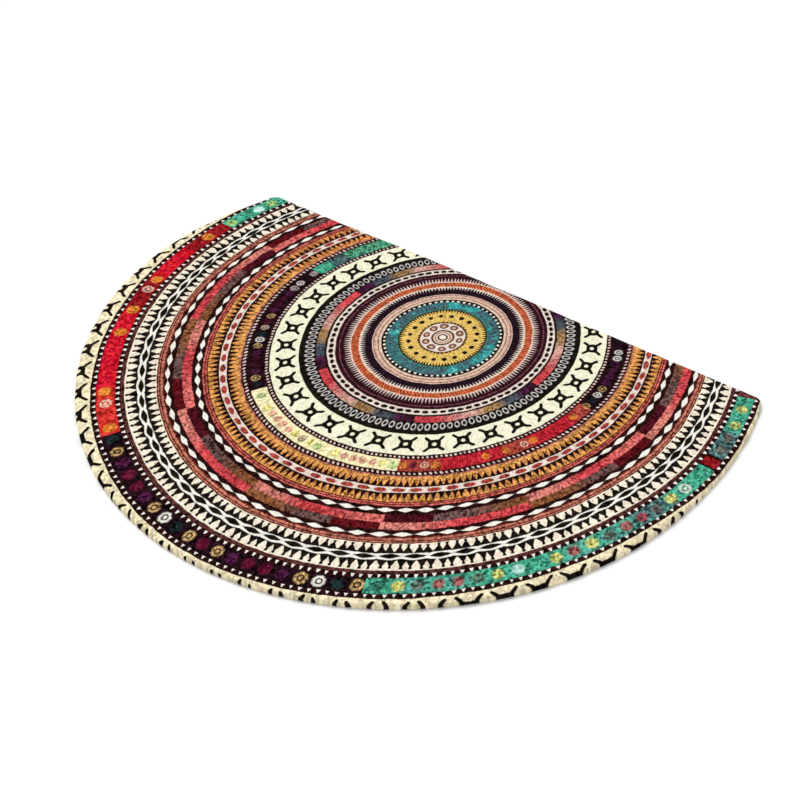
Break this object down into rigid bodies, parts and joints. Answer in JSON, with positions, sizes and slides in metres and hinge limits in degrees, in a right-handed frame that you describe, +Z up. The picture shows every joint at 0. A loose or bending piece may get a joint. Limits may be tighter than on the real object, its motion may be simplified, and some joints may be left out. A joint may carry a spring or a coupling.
{
  "type": "half-round doormat",
  "caption": "Flat half-round doormat: a piece of short printed plush cut to a long circular arc and one straight edge, with a rounded rim.",
  "frame": {"origin": "middle of the mat's bounding box, on the surface that it lies on", "axes": "+X along the straight edge, +Y from the round side towards the straight edge, +Z up, out of the printed face"},
  "size_m": [0.89, 0.625, 0.007],
  "materials": {
    "printed_plush": "short dense plush, matt, printed with concentric bands in cream, black, dark brown, red, rose, teal, gold and orange"
  },
  "bodies": {
    "root": {"mat": "printed_plush"}
  },
  "joints": []
}
